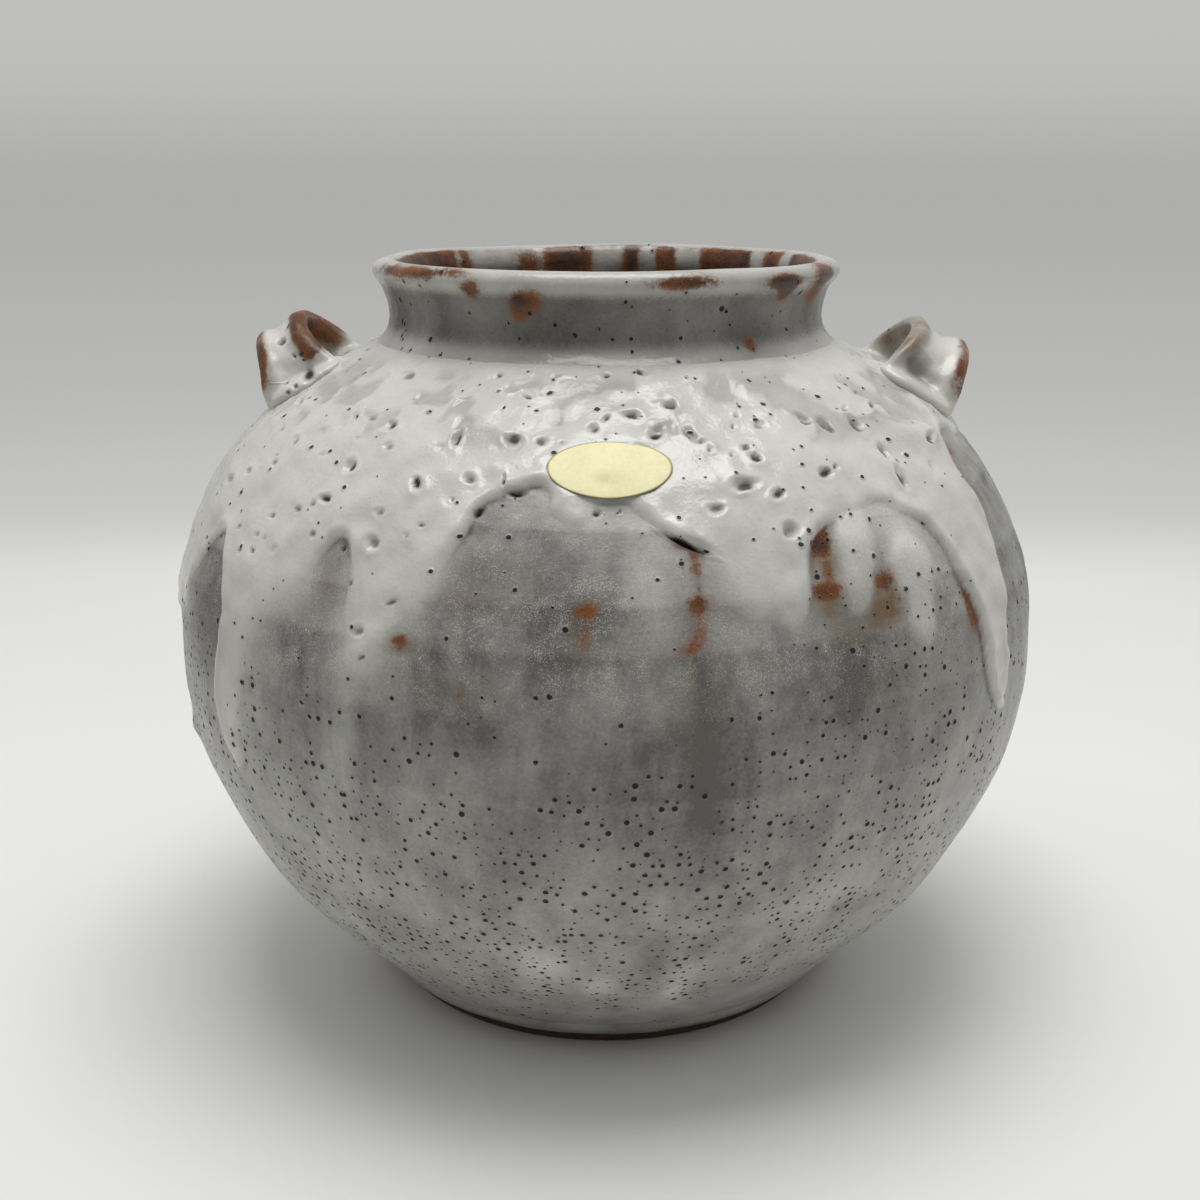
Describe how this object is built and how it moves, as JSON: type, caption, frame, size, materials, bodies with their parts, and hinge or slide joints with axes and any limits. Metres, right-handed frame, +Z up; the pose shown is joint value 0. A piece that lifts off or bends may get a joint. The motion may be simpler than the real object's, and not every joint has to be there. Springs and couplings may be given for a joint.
{
  "type": "stoneware jar with two lugs",
  "caption": "Globular glazed stoneware jar with a short flaring neck, strap lugs on the shoulder, a foot ring and a blank oval paper seal.",
  "frame": {"origin": "centre of the ring that the jar stands on, on the floor", "axes": "+Z up along the jar's axis, -Y to the side that carries the seal, +X to the right lug"},
  "size_m": [0.2188, 0.2188, 0.188],
  "materials": {
    "body_glaze": "thick pinholed white glaze over iron-brown clay",
    "neck_glaze": "thick white glaze, brown where it is thin",
    "foot_clay": "bare dark clay below the glaze line",
    "lug_glaze": "white glaze, rust brown on the pinched edges",
    "seal_paper": "pale gold paper, blank"
  },
  "bodies": {
    "root": {"jar_body": "body_glaze", "neck_collar": "neck_glaze", "foot_ring": "foot_clay", "right_lug": "lug_glaze", "left_lug": "lug_glaze", "paper_seal": "seal_paper"}
  },
  "joints": []
}
